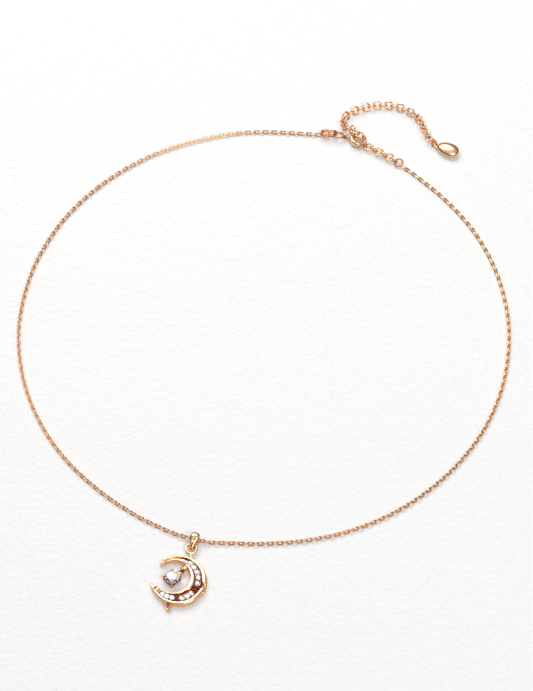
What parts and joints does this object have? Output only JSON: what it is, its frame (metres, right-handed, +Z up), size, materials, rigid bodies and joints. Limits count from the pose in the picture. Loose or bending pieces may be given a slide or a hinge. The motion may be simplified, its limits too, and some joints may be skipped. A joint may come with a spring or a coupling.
{
  "type": "pendant necklace",
  "caption": "Fine cable-chain necklace in rose gold with a stone-set crescent moon pendant, lobster clasp and extender chain, laid in a circle.",
  "frame": {"origin": "middle of the whole necklace, on the surface it lies on", "axes": "+Z up from the surface, pendant towards -Y, clasp towards +Y, extender's tag towards +X"},
  "size_m": [0.1282, 0.1558, 0.0045],
  "materials": {
    "fine_chain": "bright rose-gold plated wire",
    "polished_gold": "mirror-polished rose-gold plate",
    "setting_gold": "rose-gold plate, darker in its recesses",
    "ring_gold": "rose-gold plated wire",
    "extender_gold": "rose-gold plated wire",
    "clasp_gold": "polished cast rose-gold plate",
    "small_stones": "faceted clear stone",
    "centre_stone": "faceted clear stone with a faint lavender cast",
    "spring_steel": "drawn spring wire"
  },
  "bodies": {
    "chain": {"chain": "fine_chain", "end_ring": "ring_gold", "clasp_ring": "ring_gold", "clasp_body": "clasp_gold", "clasp_rivet": "setting_gold", "clasp_spring": "spring_steel", "side_ring": "ring_gold", "side_links": "extender_gold", "hooked_link": "extender_gold"},
    "bail": {"bail": "polished_gold"},
    "pendant": {"crescent": "polished_gold", "stones_right": "small_stones", "stones_lower": "small_stones", "stones_left": "small_stones", "setting": "setting_gold", "setting_bar": "setting_gold", "centre_stone": "centre_stone"},
    "lever": {"clasp_lever": "clasp_gold"},
    "tail_1": {"tail_links_1": "extender_gold"},
    "tail_2": {"tail_links_2": "extender_gold"},
    "tail_3": {"tail_links_3": "extender_gold"},
    "tail_4": {"tail_links_4": "extender_gold"},
    "tail_5": {"tail_links_5": "extender_gold"},
    "tail_6": {"tail_links_6": "extender_gold"},
    "tail_7": {"tail_links_7": "extender_gold"},
    "tail_8": {"tail_links_8": "extender_gold"},
    "tag_ring": {"tag_ring": "ring_gold"},
    "tag": {"tag": "polished_gold"}
  },
  "joints": [
    {"name": "bail_swing", "type": "hinge", "parent": "chain", "child": "bail", "pos_m": [-0.0173, -0.0587, 0.0014], "axis": [-0.9848, 0.1736, 0], "range_deg": [0, 165]},
    {"name": "pendant_sway", "type": "hinge", "parent": "bail", "child": "pendant", "pos_m": [-0.0178, -0.06156, 0.0011], "axis": [0, 0, 1], "range_deg": [-25, 25]},
    {"name": "lever_open", "type": "hinge", "parent": "chain", "child": "lever", "pos_m": [0.02433, 0.06574, 0.001], "axis": [0, 0, -1], "range_deg": [0, 16], "stiffness_Nm_per_rad": 0.005, "springref_deg": -11.46},
    {"name": "tail_bend_1", "type": "hinge", "parent": "chain", "child": "tail_1", "pos_m": [0.02725, 0.06295, 0.0018], "axis": [0, 0, 1], "range_deg": [-1, 4]},
    {"name": "tail_bend_2", "type": "hinge", "parent": "tail_1", "child": "tail_2", "pos_m": [0.02351, 0.06689, 0.00271], "axis": [0, 0, 1], "range_deg": [-1, 6]},
    {"name": "tail_bend_3", "type": "hinge", "parent": "tail_2", "child": "tail_3", "pos_m": [0.0215, 0.07064, 0.00092], "axis": [0, 0, 1], "range_deg": [-1, 25]},
    {"name": "tail_bend_4", "type": "hinge", "parent": "tail_3", "child": "tail_4", "pos_m": [0.02576, 0.07494, 0.00095], "axis": [0, 0, 1], "range_deg": [-1, 25]},
    {"name": "tail_bend_5", "type": "hinge", "parent": "tail_4", "child": "tail_5", "pos_m": [0.03033, 0.07638, 0.00095], "axis": [0, 0, 1], "range_deg": [-1.5, 25]},
    {"name": "tail_bend_6", "type": "hinge", "parent": "tail_5", "child": "tail_6", "pos_m": [0.03666, 0.07588, 0.00095], "axis": [0, 0, 1], "range_deg": [-1.5, 25]},
    {"name": "tail_bend_7", "type": "hinge", "parent": "tail_6", "child": "tail_7", "pos_m": [0.04079, 0.07349, 0.00103], "axis": [0, 0, 1], "range_deg": [-2, 25]},
    {"name": "tail_bend_8", "type": "hinge", "parent": "tail_7", "child": "tail_8", "pos_m": [0.04375, 0.06795, 0.00119], "axis": [0, 0, 1], "range_deg": [-3, 25]},
    {"name": "tag_ring_turn", "type": "hinge", "parent": "tail_8", "child": "tag_ring", "pos_m": [0.04581, 0.06365, 0.0012], "axis": [0, 0, 1], "range_deg": [-15, 15]},
    {"name": "tag_swing", "type": "hinge", "parent": "tag_ring", "child": "tag", "pos_m": [0.04684, 0.06243, 0.00119], "axis": [0, 0, 1], "range_deg": [-15, 15]}
  ]
}
